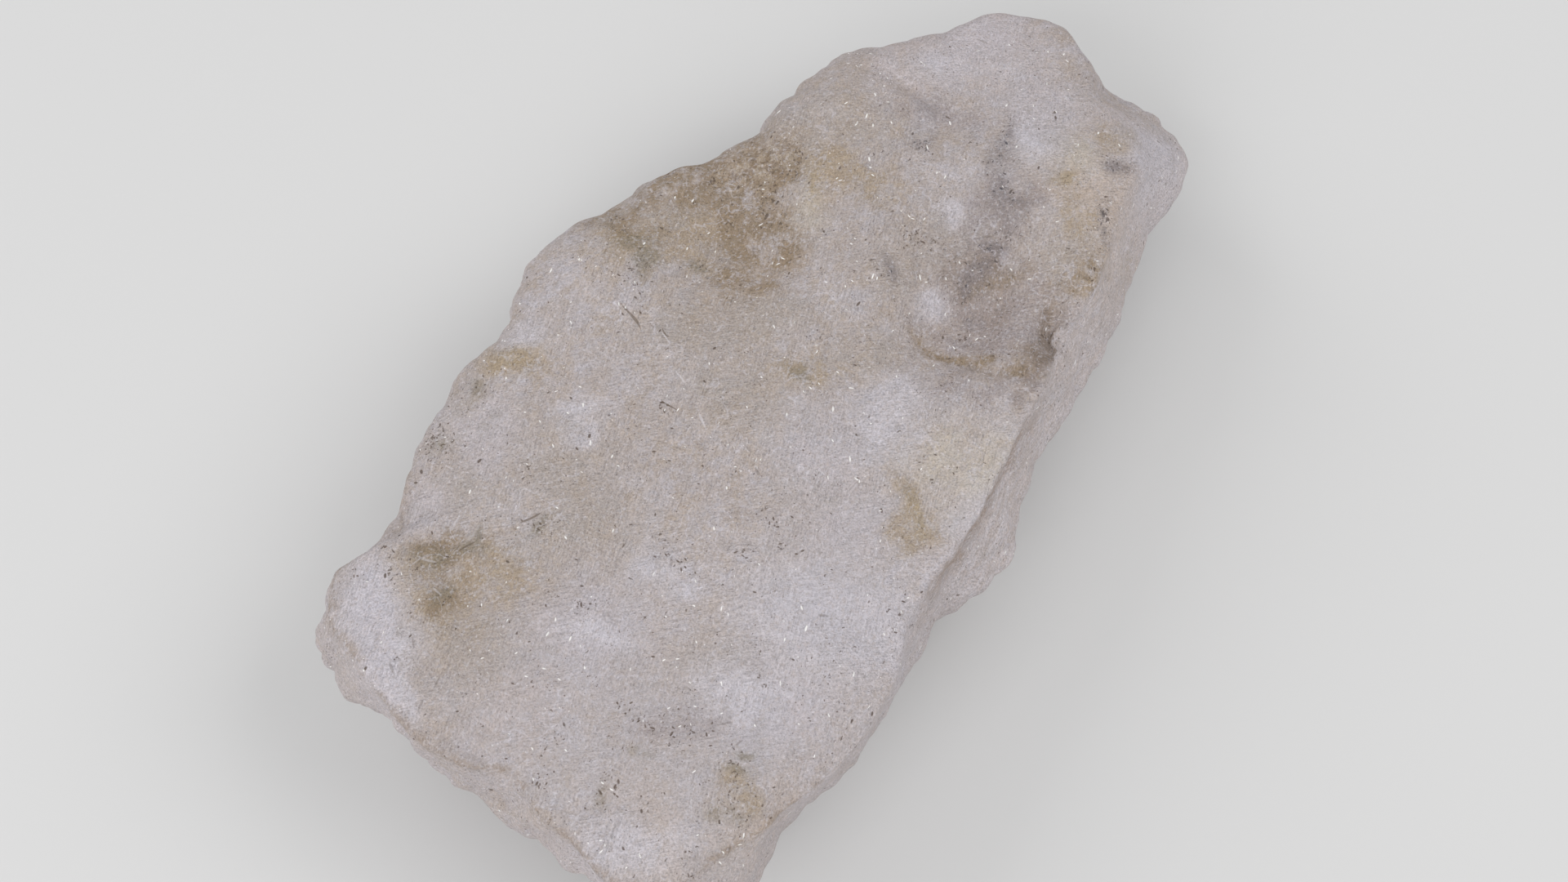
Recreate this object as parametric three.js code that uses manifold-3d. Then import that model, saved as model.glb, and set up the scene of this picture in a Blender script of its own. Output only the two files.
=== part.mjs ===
// A hand specimen of massive gypsum: one slab, broken out of its bed, with a broad worn face
// on top, a sharp ridge and a ledge along one long side and rounded, chipped edges elsewhere.
// It lies on its flattest broken face. It is one piece, so it is one solid.
// Millimetres, +Z up, +X along the slab. The origin is the middle of the bounding box, on the floor.
import * as THREE from "three";
import { mergeVertices } from "three/addons/utils/BufferGeometryUtils.js";
import Module from "manifold-3d";

// --- Driving dimensions -----------------------------------------------------------------------

const FACE_HEIGHT = 25.5; // floor to the broad face, at the middle of the slab
const FACE_SLOPE = 0.02; // the face rises by this much per millimetre along +X
const BED_DEPTH = 1.6; // how far the underside bellies out below where it is broken off flat

// Facets of the solid along the slab, across it and up its sides.
const CELLS_ALONG = 50;
const CELLS_ACROSS = 28;
const CELLS_UP = 12;

// Every bearing is taken from this point, in degrees from +X towards +Y.
const MIDDLE = new THREE.Vector2(-5, -6);

// The rim is where the broad face turns over into the sides, as x, y seen from above.
const RIM = [
  [54.5, -4.5], [54, 0], [52, 3.5], [49, 5.5], [45.5, 8], [42, 11], [40.5, 12], [38, 14.5],
  [33.5, 15.5], [29.5, 17], [26.5, 18], [24, 17.5], [21, 19], [17.5, 20.5], [14, 23],
  [10.5, 24.5], [6.5, 25.5], [1, 27.5], [-2.5, 28.5], [-7, 28.5], [-11, 27.5], [-15, 26.5],
  [-19, 27.5], [-23, 27], [-27, 26.5], [-30.5, 25.5], [-34.5, 25], [-38.5, 22.5], [-41, 22.5],
  [-43.5, 25], [-46.5, 24.5], [-49, 23.5], [-51, 21], [-52, 17.5], [-53.5, 14.5], [-55, 11.5], [-56, 8],
  [-56.5, 3], [-56, -0.5], [-55, -2.5], [-54.5, -4.5], [-55, -6.5], [-56, -9], [-56.5, -13],
  [-57.5, -16.5], [-57.5, -20.5], [-56, -23], [-53.5, -24.5], [-50.5, -25.5], [-47.5, -27],
  [-44, -28.5], [-39.5, -30], [-35, -31], [-31.5, -31], [-27, -31], [-24, -30.5], [-20, -29],
  [-13, -28.5], [-6.5, -29], [-4, -28.5], [0.5, -28], [5, -27.5], [10, -27], [12.5, -26.5],
  [16.5, -27], [17.5, -26], [20, -25.5], [25.5, -25], [34, -22.5], [40.5, -21.5], [44.5, -17.5],
  [46.5, -12.5], [51.5, -9],
];

// The belt is the line round the sides where the stone is widest.
const BELT = [
  [58, -3], [57, 1], [54.5, 5], [51, 8], [44.5, 12], [40, 15], [35, 17.5], [30.5, 19], [26.5, 20],
  [24, 19], [21, 20.5], [18, 22], [15, 25], [11, 27], [7, 28], [1, 31], [-2.5, 32.5], [-7, 31.5],
  [-11, 29], [-15, 28.5], [-23, 29.5], [-30.5, 28], [-34.5, 26.5], [-40.5, 25.5], [-44, 26.5],
  [-47.5, 26.5], [-50, 25.5], [-52.5, 23.5], [-54, 21.5], [-54.5, 19.5], [-54.5, 17], [-55, 13.5],
  [-55.5, 9.5], [-56.5, 4], [-57, -1.5], [-57, -6], [-56.5, -10], [-57.5, -15.5], [-58, -21],
  [-58, -24], [-57.5, -26.5], [-56, -28.5], [-53.5, -29], [-50, -29], [-47.5, -28.5], [-44, -28],
  [-40, -28], [-37, -28.5], [-33, -30], [-29, -30], [-21.5, -29.5], [-17.5, -29.5], [-13.5, -29],
  [-11.5, -29.5], [-8.5, -31], [-4.5, -32.5], [-2, -32.5], [2, -30.5], [6, -29.5], [10.5, -28.5],
  [15, -28.5], [24, -28], [28.5, -27.5], [33, -26.5], [42.5, -24.5], [50.5, -24.5], [53.5, -21.5],
  [55, -17.5], [54.5, -13], [55, -9.5], [56, -5.5],
];

// The sides, by bearing: the belt's height, how late the side flares out to it, how far the face
// rolls down to the rim, how sharply the side turns out into a ledge halfway down, how far the
// foot is tucked in under the belt as a share of its distance, and the foot's height.
const SIDES = [
  { bearing: -170, belt: 17, flare: 1.0, roll: 0.6, ledge: 0, tuck: 0.14, foot: 2 },
  { bearing: -155, belt: 14, flare: 1.0, roll: 0.6, ledge: 0, tuck: 0.16, foot: 4 },
  { bearing: -143, belt: 12, flare: 0.9, roll: 1.6, ledge: 0, tuck: 0.18, foot: 3 },
  { bearing: -119, belt: 12, flare: 1.2, roll: 0.8, ledge: 0.3, tuck: 0.22, foot: 3 },
  { bearing: -83, belt: 12, flare: 2.5, roll: 0.2, ledge: 1, tuck: 0.24, foot: 2 },
  { bearing: -55, belt: 12, flare: 2.0, roll: 0.2, ledge: 1, tuck: 0.22, foot: 2 },
  { bearing: -32, belt: 12, flare: 1.0, roll: 1.1, ledge: 0.2, tuck: 0.20, foot: 4 },
  { bearing: -14, belt: 14, flare: 1.0, roll: 1.6, ledge: 0, tuck: 0.16, foot: 6 },
  { bearing: -1, belt: 16, flare: 0.9, roll: 3.0, ledge: 0, tuck: 0.18, foot: 8 },
  { bearing: 15, belt: 14, flare: 0.7, roll: 4.0, ledge: 0, tuck: 0.18, foot: 7 },
  { bearing: 38, belt: 11, flare: 0.7, roll: 3.5, ledge: 0, tuck: 0.12, foot: 4 },
  { bearing: 62, belt: 8, flare: 0.7, roll: 3.0, ledge: 0, tuck: 0.08, foot: 1 },
  { bearing: 90, belt: 8, flare: 0.7, roll: 3.0, ledge: 0, tuck: 0.08, foot: 1 },
  { bearing: 129, belt: 12, flare: 0.7, roll: 2.5, ledge: 0, tuck: 0.12, foot: 3 },
  { bearing: 147, belt: 15, flare: 0.8, roll: 4.0, ledge: 0, tuck: 0.12, foot: 2 },
  { bearing: 158, belt: 17, flare: 0.9, roll: 1.0, ledge: 0, tuck: 0.14, foot: 1 },
];

// Hollows and swells of the worn faces: the middle, how far it reaches along, across and in
// height, the bearing of its long way, and how far it moves the face there.
const HOLLOWS = [
  { at: [10, 12.5, 25], reach: [11, 7, 9], bearing: 10, push: [0, 0, -2.2] },
  { at: [13.5, -15.5, 25], reach: [9, 6, 8], bearing: -20, push: [0, 0, -2.4] },
  { at: [17, -25, 25], reach: [3, 3.5, 4], bearing: 0, push: [0, 1.2, -1.2] },
  { at: [34.5, 3.5, 25], reach: [2.5, 7, 6], bearing: -15, push: [0, 0, -0.9] },
  { at: [-40.5, 13.5, 24], reach: [6, 3.5, 6], bearing: 50, push: [0, 0, -1.1] },
  { at: [-48, 13, 24], reach: [6, 2, 4], bearing: 60, push: [0, 0, -0.6] },
  { at: [-53, 18, 19], reach: [2.5, 4, 2.5], bearing: 0, push: [0.8, 0, 0] },
  { at: [17, -3, 25], reach: [6, 3.5, 8], bearing: 30, push: [0, 0, 0.9] },
  { at: [-31, -26, 23], reach: [6, 5, 8], bearing: 10, push: [0, -0.5, 0.9] },
  { at: [-20, -12, 25], reach: [14, 8, 8], bearing: 20, push: [0, 0, 0.8] },
  { at: [-6, -30, 19], reach: [9, 3, 3], bearing: 0, push: [0, 0.7, 0] },
];

// Flat breaks: a point of each and the way it faces.
const BREAKS = [
  { through: [33, -3, 26.3], facing: [0.2, 0.02, 0.98] },
  { through: [-25, 26.5, 8], facing: [-0.15, 0.95, -0.3] },
  { through: [12, 25, 6], facing: [0.3, 0.9, -0.3] },
  { through: [40, 12, 9], facing: [0.35, 0.75, -0.5] },
  { through: [52, -5, 8], facing: [0.8, -0.1, -0.6] },
  { through: [34, -21, 5], facing: [0.1, -0.7, -0.7] },
  { through: [-8, -27, 4], facing: [-0.05, -0.8, -0.6] },
  { through: [-52, 6, 8], facing: [-0.8, 0.2, -0.55] },
  { through: [-50, -20, 6], facing: [-0.6, -0.4, -0.7] },
];
const BREAK_ROUNDING = 0.8; // breadth of the worn edge where a break meets the rest

const SWELL_SIZE = 17; // spacing of the broad undulation, and its height
const SWELL_HEIGHT = 0.7;
const LUMP_SIZE = 7; // spacing of the worn lumps, and their height
const LUMP_HEIGHT = 0.5;

// --- Shape ------------------------------------------------------------------------------------

const mix = (a, b, share) => a + (b - a) * share;
const smooth = (share) => share * share * (3 - 2 * share);

// A repeatable number from 0 to 1 for each corner of a whole-number grid.
function cornerValue(i, j, k) {
  let bits = Math.imul(i, 0x27d4eb2d) ^ Math.imul(j, 0x165667b1) ^ Math.imul(k, 0x9e3779b1);
  bits = Math.imul(bits ^ (bits >>> 15), 0x85ebca6b);
  bits = Math.imul(bits ^ (bits >>> 13), 0xc2b2ae35);
  return ((bits ^ (bits >>> 16)) >>> 0) / 2 ** 32;
}

// Smooth noise from -1 to 1 whose hills are about `size` apart.
function hills(point, size) {
  const grid = point.clone().divideScalar(size);
  const low = grid.clone().floor();
  const share = grid.sub(low);
  const [u, v, w] = [smooth(share.x), smooth(share.y), smooth(share.z)];
  const corner = (a, b, c) => cornerValue(low.x + a, low.y + b, low.z + c);
  const edge = (b, c) => mix(corner(0, b, c), corner(1, b, c), u);
  return 2 * mix(mix(edge(0, 0), edge(1, 0), v), mix(edge(0, 1), edge(1, 1), v), w) - 1;
}

// Rounded lumps with creases between them, from 0 in the creases to 1: one dome round each of a
// scatter of points about `size` apart.
function lumps(point, size) {
  const grid = point.clone().divideScalar(size);
  const low = grid.clone().floor();
  let nearest = 1;
  for (let a = -1; a <= 1; a++)
    for (let b = -1; b <= 1; b++)
      for (let c = -1; c <= 1; c++) {
        const [i, j, k] = [low.x + a, low.y + b, low.z + c];
        const seed = new THREE.Vector3(
          i + cornerValue(i, j, k + 101),
          j + cornerValue(i, j + 101, k),
          k + cornerValue(i + 101, j, k),
        );
        nearest = Math.min(nearest, seed.distanceToSquared(grid));
      }
  return 1 - nearest;
}

// A measure that changes with the bearing in degrees, from its stations: pairs of a bearing and
// the value there, in order of bearing. `ease` shapes the change from one station to the next.
function aroundTheStone(stations, ease) {
  const [firstBearing, firstValue] = stations[0];
  const [lastBearing, lastValue] = stations.at(-1);
  const before = [lastBearing - 360, lastValue];
  const round = [before, ...stations, [firstBearing + 360, firstValue]];
  return (bearing) => {
    const next = round.findIndex((station) => station[0] > bearing);
    const [from, to] = [round[next - 1], round[next]];
    return mix(from[1], to[1], ease((bearing - from[0]) / (to[0] - from[0])));
  };
}

// The distance from the middle to a closed outline, at each bearing.
function outline(points) {
  const STEPS_PER_POINT = 8;
  const corners = points.map(([x, y]) => new THREE.Vector3(x, y, 0));
  const curve = new THREE.CatmullRomCurve3(corners, true, "catmullrom", 0.5);
  const stations = curve
    .getPoints(points.length * STEPS_PER_POINT)
    .slice(1)
    .map((p) => [p.x - MIDDLE.x, p.y - MIDDLE.y])
    .map(([x, y]) => [THREE.MathUtils.radToDeg(Math.atan2(y, x)), Math.hypot(x, y)])
    .sort((one, other) => one[0] - other[0]);
  return aroundTheStone(stations, (share) => share);
}

// One of the sides' measures, at each bearing.
function side(measure) {
  return aroundTheStone(SIDES.map((station) => [station.bearing, station[measure]]), smooth);
}

const rim = outline(RIM);
const belt = outline(BELT);
const beltHeight = side("belt");
const flare = side("flare");
const roll = side("roll");
const ledge = side("ledge");
const tuck = side("tuck");
const footHeight = side("foot");

const HALF_LENGTH = 58; // of the box whose grid the faces follow in the middle
const HALF_WIDTH = 31;
const ROLL_POWER = 9; // how close to the rim the face starts to roll down
const BED_POWER = 3; // how the underside curves up to the foot
const TUCK_POWER = 1.8; // how the side curves in from the belt to the foot
const LEDGE_TURN = 0.05; // how softly a side turns out into its ledge, as a share of its height

// The slab before its hollows, breaks and lumps. s, t and w run from -1 to 1 along, across and
// up a box, whose surface is carried out to the stone's: every point keeps its bearing.
function slab(s, t, w) {
  const [x, y] = [s * HALF_LENGTH, t * HALF_WIDTH];
  const out = Math.max(Math.abs(s), Math.abs(t)); // 0 in the middle of a face, 1 at its rim
  const angle = Math.atan2(y, x);
  const bearing = THREE.MathUtils.radToDeg(angle);
  const heading = new THREE.Vector2(Math.cos(angle), Math.sin(angle));
  const at = (reach, z) => new THREE.Vector3(...MIDDLE.clone().addScaledVector(heading, reach), z);
  const spread = (edge) => mix(Math.hypot(x, y), edge * out, out); // a face's grid, out to its edge
  const foot = belt(bearing) * (1 - tuck(bearing));
  const reach = spread(rim(bearing));
  const fall = roll(bearing) * out ** ROLL_POWER;
  const top = FACE_HEIGHT + FACE_SLOPE * at(reach).x - fall;
  if (w === 1) return at(reach, top);
  const bottom = mix(-BED_DEPTH, footHeight(bearing), out ** BED_POWER);
  if (w === -1) return at(spread(foot), bottom);
  const z = mix(bottom, top, (w + 1) / 2);
  const widest = beltHeight(bearing);
  if (z > widest) {
    const down = (top - z) / (top - widest);
    const turnedOut = down - 0.5 + Math.hypot(down - 0.5, LEDGE_TURN); // straight out from halfway
    const outTo = mix(down ** flare(bearing), turnedOut, ledge(bearing));
    return at(mix(rim(bearing), belt(bearing), outTo), z);
  }
  const down = (widest - z) / (widest - bottom);
  return at(mix(belt(bearing), foot, down ** TUCK_POWER), z);
}

// How far a hollow moves a point: all of its push in its middle, falling away as a bell.
function pushOf({ at, reach, bearing, push }, point) {
  const turn = THREE.MathUtils.degToRad(-bearing);
  const from = point.clone().sub(new THREE.Vector3(...at));
  from.applyAxisAngle(new THREE.Vector3(0, 0, 1), turn).divide(new THREE.Vector3(...reach));
  return new THREE.Vector3(...push).multiplyScalar(Math.exp(-from.lengthSq()));
}

// Points beyond a break's plane are pressed back onto it.
function pressed(point, { through, facing }) {
  const normal = new THREE.Vector3(...facing).normalize();
  const beyond = point.clone().sub(new THREE.Vector3(...through)).dot(normal);
  const excess = (beyond + Math.hypot(beyond, BREAK_ROUNDING)) / 2;
  return point.addScaledVector(normal, -excess);
}

// Moves every corner of a closed mesh to where `move(point, normal)` says.
function reshape(geometry, move) {
  geometry.computeVertexNormals();
  const { position, normal } = geometry.attributes;
  for (let i = 0; i < position.count; i++) {
    const point = new THREE.Vector3().fromBufferAttribute(position, i);
    const outward = new THREE.Vector3().fromBufferAttribute(normal, i);
    position.setXYZ(i, ...move(point, outward));
  }
}

// A box's surface in even cells, each corner shared by the faces that meet there.
function cells() {
  const box = new THREE.BoxGeometry(2, 2, 2, CELLS_ALONG, CELLS_ACROSS, CELLS_UP);
  box.deleteAttribute("normal");
  box.deleteAttribute("uv");
  return mergeVertices(box);
}

// Folds each four-cornered cell along the shorter of its two diagonals.
function foldShort(geometry) {
  const { position } = geometry.attributes;
  const corner = (index) => new THREE.Vector3().fromBufferAttribute(position, index);
  const folded = [];
  for (let i = 0; i < geometry.index.count; i += 6) {
    const [a, b, d, , c] = geometry.index.array.slice(i, i + 6);
    const shortIsAC = corner(a).distanceTo(corner(c)) < corner(b).distanceTo(corner(d));
    folded.push(...(shortIsAC ? [a, b, c, a, c, d] : [a, b, d, b, c, d]));
  }
  geometry.setIndex(folded);
}

function stone() {
  const geometry = cells();
  reshape(geometry, (p) => slab(p.x, p.y, p.z));
  reshape(geometry, (p) => {
    const pushes = HOLLOWS.map((hollow) => pushOf(hollow, p));
    return pushes.reduce((sum, push) => sum.add(push), p);
  });
  reshape(geometry, (p) => BREAKS.reduce(pressed, p));
  reshape(geometry, (p, outward) => {
    const rise = SWELL_HEIGHT * hills(p, SWELL_SIZE) + LUMP_HEIGHT * (lumps(p, LUMP_SIZE) - 0.7);
    return p.addScaledVector(outward, rise);
  });
  foldShort(geometry);
  return geometry;
}

// --- The flat it rests on ---------------------------------------------------------------------

const wasm = await Module();
wasm.setup();

function solid(geometry) {
  const vertProperties = geometry.attributes.position.array;
  return new wasm.Manifold(
    new wasm.Mesh({ numProp: 3, vertProperties, triVerts: new Uint32Array(geometry.index.array) }),
  );
}

function surface(manifold) {
  const { vertProperties, triVerts } = manifold.getMesh();
  const geometry = new THREE.BufferGeometry();
  geometry.setAttribute("position", new THREE.BufferAttribute(vertProperties, 3));
  geometry.setIndex(new THREE.BufferAttribute(triVerts, 1));
  return geometry;
}

const FLOOR_BLOCK = 200; // a block under the floor, wider than the stone, that cuts it off flat
const block = new THREE.BoxGeometry(FLOOR_BLOCK, FLOOR_BLOCK, FLOOR_BLOCK);
block.deleteAttribute("normal");
block.deleteAttribute("uv");
block.translate(0, 0, -FLOOR_BLOCK / 2);

const gypsum = new THREE.MeshStandardMaterial({ color: 0xc9bfba, roughness: 0.62, metalness: 0 });
const rock = new THREE.Mesh(surface(solid(stone()).subtract(solid(mergeVertices(block)))), gypsum);
rock.name = "gypsum_rock";

const specimen = new THREE.Group();
specimen.add(rock);
export default specimen;
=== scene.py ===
import math

import bpy
import numpy as np
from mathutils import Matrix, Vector


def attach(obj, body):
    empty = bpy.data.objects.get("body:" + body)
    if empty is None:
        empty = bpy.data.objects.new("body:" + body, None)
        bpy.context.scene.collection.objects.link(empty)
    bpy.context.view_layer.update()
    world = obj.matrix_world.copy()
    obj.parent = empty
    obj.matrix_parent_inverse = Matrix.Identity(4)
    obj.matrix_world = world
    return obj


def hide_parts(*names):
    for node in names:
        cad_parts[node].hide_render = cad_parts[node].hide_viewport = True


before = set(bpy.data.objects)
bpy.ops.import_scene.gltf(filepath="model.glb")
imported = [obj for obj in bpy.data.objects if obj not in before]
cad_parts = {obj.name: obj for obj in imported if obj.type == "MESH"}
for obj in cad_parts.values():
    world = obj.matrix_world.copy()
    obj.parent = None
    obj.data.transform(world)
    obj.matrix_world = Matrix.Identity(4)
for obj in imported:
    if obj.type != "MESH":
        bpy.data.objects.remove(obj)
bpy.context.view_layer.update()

# --- The stone --------------------------------------------------------------------------------
# One slab of massive gypsum, broken out of its bed and worn: soft, waxy and sugary, whitish to
# pinkish beige, stained brown in patches, with dark flecks and small crystal faces that glint.
# It is a single piece with nothing fixed to it, and lies loose on its flattest broken face.

# All sizes are in millimetres; the mesh is turned into metres at the end.
MM_IN_METRE = 1000
FACE_HEIGHT = 25.5  # floor to the broad face, at the middle of the slab
FACE_SLOPE = 0.02  # the face rises by this much per millimetre along +X
BED_DEPTH = 1.6  # how far the underside bellies out below where it is broken off flat
HALF_LENGTH, HALF_WIDTH = 58, 31  # of the box whose grid the faces follow in the middle
MIDDLE = np.array([-5.0, -6.0])  # every bearing is taken from here

# The rim is where the broad face turns over into the sides, as x, y seen from above.
RIM = [
    (54.5, -4.5), (54, 0), (52, 3.5), (49, 5.5), (45.5, 8), (42, 11), (40.5, 12), (38, 14.5),
    (33.5, 15.5), (29.5, 17), (26.5, 18), (24, 17.5), (21, 19), (17.5, 20.5), (14, 23),
    (10.5, 24.5), (6.5, 25.5), (1, 27.5), (-2.5, 28.5), (-7, 28.5), (-11, 27.5), (-15, 26.5),
    (-19, 27.5), (-23, 27), (-27, 26.5), (-30.5, 25.5), (-34.5, 25), (-38.5, 22.5),
    (-41, 22.5), (-43.5, 25), (-46.5, 24.5), (-49, 23.5), (-51, 21), (-52, 17.5),
    (-53.5, 14.5), (-55, 11.5), (-56, 8), (-56.5, 3), (-56, -0.5), (-55, -2.5),
    (-54.5, -4.5), (-55, -6.5), (-56, -9), (-56.5, -13), (-57.5, -16.5), (-57.5, -20.5),
    (-56, -23), (-53.5, -24.5), (-50.5, -25.5), (-47.5, -27), (-44, -28.5), (-39.5, -30),
    (-35, -31), (-31.5, -31), (-27, -31), (-24, -30.5), (-20, -29), (-13, -28.5),
    (-6.5, -29), (-4, -28.5), (0.5, -28), (5, -27.5), (10, -27), (12.5, -26.5),
    (16.5, -27), (17.5, -26), (20, -25.5), (25.5, -25), (34, -22.5), (40.5, -21.5),
    (44.5, -17.5), (46.5, -12.5), (51.5, -9),
]

# The belt is the line round the sides where the stone is widest.
BELT = [
    (58, -3), (57, 1), (54.5, 5), (51, 8), (44.5, 12), (40, 15), (35, 17.5), (30.5, 19),
    (26.5, 20), (24, 19), (21, 20.5), (18, 22), (15, 25), (11, 27), (7, 28), (1, 31),
    (-2.5, 32.5), (-7, 31.5), (-11, 29), (-15, 28.5), (-23, 29.5), (-30.5, 28),
    (-34.5, 26.5), (-40.5, 25.5), (-44, 26.5), (-47.5, 26.5), (-50, 25.5), (-52.5, 23.5),
    (-54, 21.5), (-54.5, 19.5), (-54.5, 17), (-55, 13.5), (-55.5, 9.5), (-56.5, 4),
    (-57, -1.5), (-57, -6), (-56.5, -10), (-57.5, -15.5), (-58, -21), (-58, -24),
    (-57.5, -26.5), (-56, -28.5), (-53.5, -29), (-50, -29), (-47.5, -28.5), (-44, -28),
    (-40, -28), (-37, -28.5), (-33, -30), (-29, -30), (-21.5, -29.5), (-17.5, -29.5),
    (-13.5, -29), (-11.5, -29.5), (-8.5, -31), (-4.5, -32.5), (-2, -32.5), (2, -30.5),
    (6, -29.5), (10.5, -28.5), (15, -28.5), (24, -28), (28.5, -27.5), (33, -26.5),
    (42.5, -24.5), (50.5, -24.5), (53.5, -21.5), (55, -17.5), (54.5, -13), (55, -9.5),
    (56, -5.5),
]
CURVE_STEPS = 8  # from each point of the rim or the belt to the next

# The sides, by bearing in degrees: the belt's height, how late the side flares out to it, how
# far the face rolls down to the rim, how sharply the side turns out into a ledge halfway down,
# how far the foot is tucked in under the belt as a share of its distance, and the foot's height.
BEARINGS = [-170, -155, -143, -119, -83, -55, -32, -14, -1, 15, 38, 62, 90, 129, 147, 158]
BELT_HEIGHT = [17, 14, 12, 12, 12, 12, 12, 14, 16, 14, 11, 8, 8, 12, 15, 17]
FLARE = [1.0, 1.0, 0.9, 1.2, 2.5, 2.0, 1.0, 1.0, 0.9, 0.7, 0.7, 0.7, 0.7, 0.7, 0.8, 0.9]
ROLL = [0.6, 0.6, 1.6, 0.8, 0.2, 0.2, 1.1, 1.6, 3.0, 4.0, 3.5, 3.0, 3.0, 2.5, 4.0, 1.0]
LEDGE = [0, 0, 0, 0.3, 1, 1, 0.2, 0, 0, 0, 0, 0, 0, 0, 0, 0]
TUCK = [.14, .16, .18, .22, .24, .22, .20, .16, .18, .18, .12, .08, .08, .12, .12, .14]
FOOT_HEIGHT = [2, 4, 3, 3, 2, 2, 4, 6, 8, 7, 4, 1, 1, 3, 2, 1]
LEDGE_TURN = 0.05  # how softly a side turns out into its ledge, as a share of its height

# How late each change sets in, as the power of the way out or down.
ROLL_POWER = 9  # the face's roll, on the way out to the rim
BELLY_POWER = 3  # the underside's rise from its belly, on the way out to the foot
TUCK_POWER = 1.8  # the side's tuck, on the way down from the belt

# Hollows and swells of the worn faces: the middle, how far each reaches along, across and in
# height, the bearing of its long way, and how far it moves the face there.
HOLLOWS = [
    ((10, 12.5, 25), (11, 7, 9), 10, (0, 0, -2.2)),
    ((13.5, -15.5, 25), (9, 6, 8), -20, (0, 0, -2.4)),
    ((17, -25, 25), (3, 3.5, 4), 0, (0, 1.2, -1.2)),
    ((34.5, 3.5, 25), (2.5, 7, 6), -15, (0, 0, -0.9)),
    ((-40.5, 13.5, 24), (6, 3.5, 6), 50, (0, 0, -1.1)),
    ((-48, 13, 24), (6, 2, 4), 60, (0, 0, -0.6)),
    ((-53, 18, 19), (2.5, 4, 2.5), 0, (0.8, 0, 0)),
    ((17, -3, 25), (6, 3.5, 8), 30, (0, 0, 0.9)),
    ((-31, -26, 23), (6, 5, 8), 10, (0, -0.5, 0.9)),
    ((-20, -12, 25), (14, 8, 8), 20, (0, 0, 0.8)),
    ((-6, -30, 19), (9, 3, 3), 0, (0, 0.7, 0)),
]

# Flat breaks: a point of each and the way it faces.
BREAKS = [
    ((33, -3, 26.3), (0.2, 0.02, 0.98)),
    ((-25, 26.5, 8), (-0.15, 0.95, -0.3)),
    ((12, 25, 6), (0.3, 0.9, -0.3)),
    ((40, 12, 9), (0.35, 0.75, -0.5)),
    ((52, -5, 8), (0.8, -0.1, -0.6)),
    ((34, -21, 5), (0.1, -0.7, -0.7)),
    ((-8, -27, 4), (-0.05, -0.8, -0.6)),
    ((-52, 6, 8), (-0.8, 0.2, -0.55)),
    ((-50, -20, 6), (-0.6, -0.4, -0.7)),
]
BREAK_ROUNDING = 0.8  # breadth of the worn edge where a break meets the rest
WEAR_ROUNDS = 2  # of evening out, which wears every sharp edge

# Small pockets, folds and lips, cut after the wear, and the swelling of the left corner: the
# middle, how far each reaches along, across and in height, the bearing of its long way, and how
# far the face moves outwards there.
POCKETS = [
    ((18.2, -23.8, 25), (3.2, 1.3, 4), 35, -1.1),
    ((16, -25.4, 25), (1.5, 1.5, 3), 60, -0.5),
    ((18.8, -26, 25), (3, 0.8, 2), 35, 0.5),
    ((10.5, -27.6, 23), (3.5, 1.5, 0.8), 5, -0.5),
    ((36, 4, 25), (4.5, 0.9, 4), -95, -0.6),
    ((34.6, 4, 25), (4.5, 1.2, 4), -95, 0.35),
    ((-38, 16.5, 25), (3.5, 0.7, 3), -65, -0.5),
    ((-54.6, -1, 25), (8, 0.8, 4), 92, -0.6),
    ((-52.5, -13, 25), (5, 0.8, 4), 125, -0.4),
    ((-46, -26.2, 24), (7, 0.8, 3), -25, -0.5),
    ((12, -15, 25), (6, 0.8, 4), -75, -0.3),
    ((9.5, -19, 25), (5, 0.7, 4), -80, -0.3),
    ((28, 12, 25), (5, 0.9, 4), -40, 0.3),
    ((-13, 21, 25), (4, 1, 4), -20, 0.35),
    ((-55, 18.5, 17), (4, 4.5, 5), 0, 1.1),
]

# The crumbly crust in the larger hollow and the rough end: the middle, the reaches and the
# bearing of each.
CRUST = ((18.5, 14.5, 25), (5, 3, 8), -35)
ROUGH_END = ((-57, -4, 20), (3, 12, 6), 0)

# The skin, as heights and spacings.
SWELL_HEIGHT, SWELL_SIZE = 0.7, 17  # long swells of the whole stone
LUMP_SIZE, COBBLE_SIZE, BUMP_SIZE = 7, 2.9, 1.5  # worn lumps, and finer ones on top of them
RIB_SIZE, RIB_STRETCH = 3.8, (1, 1, 2.4)  # upright lumps that scallop the edges
GROOVE_HEIGHT, GROOVE_STRETCH = 0.12, (0.9, 0.9, 3.5)  # fine upright grooves of the sides
CRUMB_SIZE, CRUST_CRUMBS, END_CRUMBS = 1.3, 0.6, 0.3  # crumbs, and their height on each
RIDGE_SMOOTHNESS = 0.7  # the share of the sides' relief that is missing below the sharp ridge
FACING_ROUNDS = 20  # of evening out the way the surface faces, for the skin to grow along
FACE_LEVEL, SIDE_LEVEL = 6 / 7, 1 / 7  # how far up or down the two faces and the sides face
RIDGE_TURNED = 0.625  # how far towards -Y the ridge side faces

STONE_CELLS = (240, 132, 44)  # along, across and up


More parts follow.
